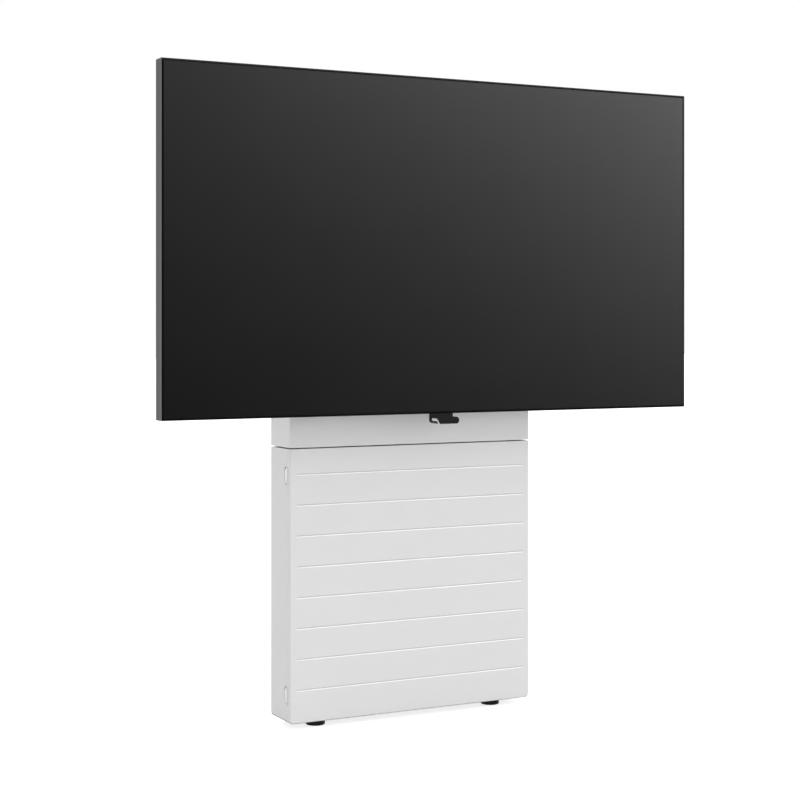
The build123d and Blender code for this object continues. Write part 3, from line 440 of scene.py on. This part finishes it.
def make_threads():
    """The spindles and foot studs of both sides, with their threads."""
    for side, x in (("left", -column_x), ("right", column_x)):
        for rod, part, body, y in (("lead_screw", lead_screw, f"{side}_lead_screw", column_y),
                                   ("hollow_screw", hollow_screw, f"{side}_hollow_screw", column_y),
                                   ("foot_stud", foot_stud, f"{side}_foot", foot_y)):
            here = [Matrix.Translation(Vector((x, y, 0.0)))]
            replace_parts(many(f"{side}_threaded_{rod}", part, here, body, "steel"), f"{side}_{rod}")


# Bolts, nuts and screws

bolt_radius = 4.0 * MM
head_radius, head_height = 6.5 * MM, 4.5 * MM
nut_radius, nut_height = 6.5 * MM, 6.5 * MM
upright_wall = 3.0 * MM
upright_rear = -0.110


def make_rail_bolts():
    """Socket bolts through both rails, with their nuts inside the uprights."""
    rail_bolt_x = column_x - upright_wall / 2
    half_pitch = 12 * MM
    upper_rail = (level(1239.1), -0.118, 14.5 * MM)
    lower_rail = (level(989.1), -0.142, 38.5 * MM)
    whole = ([], [])
    nut = hexagon_nut(nut_radius, nut_height, bolt_radius)
    for rail_middle, seat, length in (upper_rail, lower_rail):
        bolt = socket_bolt(head_radius, head_height, bolt_radius, length)
        for x in (-rail_bolt_x, rail_bolt_x):
            for z in (rail_middle - half_pitch, rail_middle + half_pitch):
                add_part(whole, bolt, towards((x, seat, z), to_front))
                add_part(whole, nut, towards((x, upright_rear, z), to_rear))
    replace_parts(make_piece("socket_rail_bolts", whole[0], whole[1], "carriage", "steel"), "rail_bolts")


def make_arm_bolts():
    """Socket bolts through the arms into the screen's posts."""
    arm_wall, length = 3.0 * MM, 25.0 * MM
    half_pattern, half_bolt_pitch = 0.2, 0.15
    bolt = socket_bolt(head_radius, head_height, bolt_radius, length)
    places = [towards((x, shell_rear + arm_wall, screen_middle + z), to_rear)
              for x in (-half_pattern, half_pattern) for z in (-half_bolt_pitch, half_bolt_pitch)]
    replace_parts(many("socket_arm_bolts", bolt, places, "screen", "steel"), "arm_bolts")


def make_small_screws():
    """The screws that close the screen's back, the controller and the motors."""
    screw = socket_bolt(head_radius=3.6 * MM, head_height=1.3 * MM, shank_radius=1.4 * MM,
                        shank_length=2.0 * MM)

    shell_plate = -0.2305
    rim_x, rim_z, rim_pitch_x, rim_pitch_z = 0.695, 0.380, 0.23, 0.19
    raised_x, raised_z = 0.475, 0.235
    rim_columns = (-rim_x, -2 * rim_pitch_x, -rim_pitch_x, 0.0, rim_pitch_x, 2 * rim_pitch_x, rim_x)
    rim = [(x, z) for x in rim_columns for z in (-rim_z, rim_z)]
    rim += [(x, z) for x in (-rim_x, rim_x) for z in (-rim_pitch_z, 0.0, rim_pitch_z)]
    raised = [(x, z) for x in (-raised_x, raised_x) for z in (-raised_z, 0.0, raised_z)]
    raised += [(0.0, -raised_z), (0.0, raised_z)]
    places = [towards((x, shell_plate, screen_middle + z), to_rear) for x, z in rim]
    places += [towards((x, shell_rear, screen_middle + z), to_rear) for x, z in raised]
    many("shell_screws", screw, places, "screen", "steel")

    control_front, control_x, control_levels = -0.035, 0.08, (481.0, 551.0)
    places = [towards((x, control_front, level(z)), to_front)
              for x in (-control_x, control_x) for z in control_levels]
    many("controller_screws", screw, places, "base", "steel")

    motor_end, motor_axis, circle = 0.094, level(84.5), 0.014
    places = []
    for way in (-1, 1):
        for angle in (90.0, 210.0, 330.0):
            y = column_y + circle * math.cos(math.radians(angle))
            z = motor_axis + circle * math.sin(math.radians(angle))
            places.append(towards((way * motor_end, y, z), (-way, 0.0, 0.0)))
    many("motor_screws", screw, places, "base", "steel")


# Details of the screen

def make_port_shells():
    """Five metal connector shells in the openings of the bay, each a small open box with its tongue."""
    count, pitch = 5, 0.026
    bay_x, bay_z = 0.345, level(1029.1)
    front, rear = -0.218, -0.2055
    outer, inner = (7.1 * MM, 2.7 * MM), (6.5 * MM, 2.1 * MM)  # half width and half height
    shell_floor = 1.0 * MM
    tongue_half_width, tongue_half_height = 4.5 * MM, 0.5 * MM
    tongue_root, tongue_recess = 0.9 * MM, 2.0 * MM

    def loop(x, size, y):
        """The four corners of a shell's wall at one depth."""
        return [Vector((x + a * size[0], y, bay_z + b * size[1]))
                for a, b in ((-1, -1), (1, -1), (1, 1), (-1, 1))]

    whole = ([], [])
    for number in range(count):
        x = bay_x + (number - (count - 1) / 2) * pitch
        shell = join_rings([loop(x, outer, front), loop(x, outer, rear), loop(x, inner, rear),
                            loop(x, inner, front + shell_floor)])
        tongue = box_part((x - tongue_half_width, front + tongue_root, bay_z - tongue_half_height),
                          (x + tongue_half_width, rear - tongue_recess, bay_z + tongue_half_height))
        add_part(whole, shell, Matrix.Identity(4))
        add_part(whole, tongue, Matrix.Identity(4))
    make_piece("port_shells", whole[0], whole[1], "screen", "steel")


def make_sensor_details():
    """The pale window in the sensor's left side, and a white strip round its lower left corner, a painted
    highlight on the edge.
    """
    sensor_front, sensor_middle = -0.2695, level(753.6)
    window_x = (-16.6 * MM, -15.0 * MM)
    window_y = (-0.2665, -0.2415)
    window_z = (sensor_middle - 1.5 * MM, sensor_middle + 5.0 * MM)
    window = box_part(*zip(window_x, window_y, window_z))
    corner, wire, sides = 8 * MM, 1.0 * MM, 8
    first_angle, angle_step, steps = 168.0, 9.5, 8
    rings = []
    for step in range(steps + 1):
        angle = math.radians(first_angle + angle_step * step)
        outward = Vector((math.cos(angle), 0.0, math.sin(angle)))
        centre = Vector((-corner, sensor_front, sensor_middle)) + corner * outward
        turns = [2 * math.pi * side / sides for side in range(sides)]
        rings.append([centre + outward * (wire * math.cos(t)) + Vector((0.0, -wire * math.sin(t), 0.0))
                      for t in turns])
    # the strip is a painted highlight: a bright part placed where the edge catches light
    for name, (vertices, faces) in (("sensor_window", window), ("sensor_edge_painted_highlight", join_rings(rings))):
        piece = make_piece(name, vertices, faces, "screen", "glide_plastic")
        piece.data.materials.clear()
        piece.data.materials.append(window_and_painted_highlight_plastic)


# Stage

def seen_directly(tree):
    """1 for camera, glossy and transmission rays, which see the white background."""
    path = add(tree, "ShaderNodeLightPath")
    total = path.outputs["Is Camera Ray"]
    for name in ("Is Glossy Ray", "Is Transmission Ray"):
        total = combine(tree, "MAXIMUM", total, path.outputs[name])
    return total


def combine(tree, operation, first, second):
    """A calculation on two terms, each a fixed number or an output."""
    node = add(tree, "ShaderNodeMath", {"operation": operation})
    for place, value in enumerate((first, second)):
        if isinstance(value, float):
            node.inputs[place].default_value = value
        else:
            link(tree, value, node.inputs[place])
    return node.outputs["Value"]


def between(tree, value, low, high):
    """1 where a value lies between two limits, 0 elsewhere."""
    node = add(tree, "ShaderNodeMath", {"operation": "COMPARE"})
    link(tree, value, node.inputs[0])
    node.inputs[1].default_value = (low + high) / 2
    node.inputs[2].default_value = (high - low) / 2
    return node.outputs["Value"]


def make_floor():
    """A pale floor, lit up to white for what looks at it, that keeps the object's shadow."""
    size, tone, glow_strength = 40.0, 0.9, 0.75
    mesh = bpy.data.meshes.new("floor")
    corners = [(a * size, b * size, floor_z) for a, b in ((-1, -1), (1, -1), (1, 1), (-1, 1))]
    mesh.from_pydata(corners, [], [(0, 1, 2, 3)])
    floor = bpy.data.objects.new("floor", mesh)
    bpy.context.scene.collection.objects.link(floor)
    mat = bpy.data.materials.new("pale_floor")
    mat.use_nodes = True
    tree = mat.node_tree
    shader = tree.nodes["Principled BSDF"]
    shader.inputs["Base Color"].default_value = (*grey(tone), 1.0)
    shader.inputs["Roughness"].default_value = 0.9
    shader.inputs["Specular IOR Level"].default_value = 0.0
    bounce = add(tree, "ShaderNodeBsdfDiffuse", Color=(*grey(tone), 1.0))
    glow = add(tree, "ShaderNodeEmission", Strength=glow_strength)
    both = add(tree, "ShaderNodeAddShader")
    link(tree, shader.outputs["BSDF"], both.inputs[0])
    link(tree, glow.outputs["Emission"], both.inputs[1])
    choose = add(tree, "ShaderNodeMixShader")
    link(tree, seen_directly(tree), choose.inputs["Fac"])
    link(tree, bounce.outputs["BSDF"], choose.inputs[1])
    link(tree, both.outputs["Shader"], choose.inputs[2])
    link(tree, choose.outputs["Shader"], tree.nodes["Material Output"].inputs["Surface"])
    mesh.materials.append(mat)
    return floor


# The studio's sky for diffuse light. Azimuth 0 is straight in front and 90 on the right, in degrees.
sky_rest = 0.9
sky_top, sky_top_start = 1.6, 75
panel_middles, panel_half = (-60, 0, 60), 30
all_round = 185
sky_bands = (
    # lowest and highest elevation, and the brightness on the left, in front and on the right
    (0, 12, (0.6, 2.45, 1.6)),
    (12, 25, (0.25, 0.95, 1.15)),
    (25, 40, (0.25, 1.35, 1.1)),
    (40, 57, (0.25, 0.55, 0.7)),
    (57, sky_top_start, (0.85, 0.55, 1.1)),
)


def make_world():
    """A studio of soft panels for diffuse light, and plain white for what looks at it."""
    panels = [(middle, panel_half, low, high, brightness)
              for low, high, row in sky_bands for middle, brightness in zip(panel_middles, row)]
    panels.append((0, all_round, sky_top_start, 90, sky_top))
    world = bpy.data.worlds.new("studio")
    bpy.context.scene.world = world
    world.use_nodes = True
    tree = world.node_tree
    tree.nodes.clear()
    source = add(tree, "ShaderNodeTexCoord")
    split = add(tree, "ShaderNodeSeparateXYZ")
    link(tree, source.outputs["Generated"], split.inputs["Vector"])
    forward = combine(tree, "MULTIPLY", split.outputs["Y"], -1.0)
    azimuth = combine(tree, "ARCTAN2", split.outputs["X"], forward)
    strength = combine(tree, "ADD", sky_rest, 0.0)
    for middle, half, low, high, brightness in panels:
        around = between(tree, azimuth, math.radians(middle - half), math.radians(middle + half))
        up = between(tree, split.outputs["Z"], math.sin(math.radians(low)), math.sin(math.radians(high)))
        patch = combine(tree, "MULTIPLY", combine(tree, "MULTIPLY", around, up), brightness - sky_rest)
        strength = combine(tree, "ADD", strength, patch)
    light = add(tree, "ShaderNodeBackground", Color=(*grey(1.0), 1.0))
    link(tree, strength, light.inputs["Strength"])
    backdrop = add(tree, "ShaderNodeBackground", Color=(*grey(1.0), 1.0), Strength=1.0)
    choose = add(tree, "ShaderNodeMixShader")
    link(tree, seen_directly(tree), choose.inputs["Fac"])
    link(tree, light.outputs["Background"], choose.inputs[1])
    link(tree, backdrop.outputs["Background"], choose.inputs[2])
    output = add(tree, "ShaderNodeOutputWorld")
    link(tree, choose.outputs["Shader"], output.inputs["Surface"])


def make_softbox(name, azimuth, elevation, distance, size, power, aim, nodes, blocker=None, diffuse=False):
    """A softbox for some nodes only, which they mirror, and which lights them too if it is diffuse."""
    a, e = math.radians(azimuth), math.radians(elevation)
    away = Vector((math.sin(a) * math.cos(e), -math.cos(a) * math.cos(e), math.sin(e)))
    data = bpy.data.lights.new(name, "AREA")
    data.shape = "SQUARE"
    data.size = size
    data.energy = power
    lamp = bpy.data.objects.new(name, data)
    lamp.location = Vector(aim) + away * distance
    lamp.rotation_euler = away.to_track_quat("Z", "Y").to_euler()
    lamp.visible_camera = False
    lamp.visible_diffuse = diffuse
    lit = bpy.data.collections.new(f"{name}_lit")
    for node in nodes:
        lit.objects.link(frame["nodes"][node])
    lamp.light_linking.receiver_collection = lit
    if blocker:
        blocks = bpy.data.collections.new(f"{name}_blocks")
        blocks.objects.link(blocker)
        lamp.light_linking.blocker_collection = blocks
    bpy.context.scene.collection.objects.link(lamp)


def make_softboxes(floor):
    """Four for the gradient in the glass, one for the grooves' light lines, one for the finger slots."""
    screen_face = (0.0, -0.27, 0.80)
    cover_face = (0.0, -0.115, 0.0)
    slots = (-0.34, -0.08, 0.0)
    glass_lights = ((40.0, 38.0, 1800.0), (60.0, 22.0, 870.0), (20.0, 30.0, 340.0), (60.0, 6.0, 420.0))
    for number, (azimuth, elevation, power) in enumerate(glass_lights):
        make_softbox(f"softbox_{number}", azimuth, elevation, distance=4.0, size=1.6, power=power,
                     aim=screen_face, nodes=("screen_glass",))
    make_softbox("groove_softbox", azimuth=80.0, elevation=58.0, distance=5.0, size=2.4, power=540.0,
                 aim=cover_face, nodes=("front_cover",), blocker=floor)
    make_softbox("cup_softbox", azimuth=-80.0, elevation=15.0, distance=5.0, size=1.6, power=95.0,
                 aim=slots, nodes=("left_finger_cups",), diffuse=True)


def make_camera():
    """The photo's camera, level and turned to the right, with its frame shifted down."""
    data = bpy.data.cameras.new("camera")
    data.sensor_width = 36.0
    data.lens = 77.95
    data.shift_y = -0.0975
    data.clip_end = 200.0
    camera = bpy.data.objects.new("camera", data)
    camera.location = (-2.0467, -3.9606, 0.6135)
    camera.rotation_euler = (math.radians(90.0), 0.0, math.radians(-27.57))
    bpy.context.scene.collection.objects.link(camera)
    bpy.context.scene.camera = camera


make_threads()
make_rail_bolts()
make_arm_bolts()
make_small_screws()
make_port_shells()
make_sensor_details()
make_world()
make_softboxes(make_floor())
make_camera()

bpy.context.scene.view_settings.view_transform = "Standard"
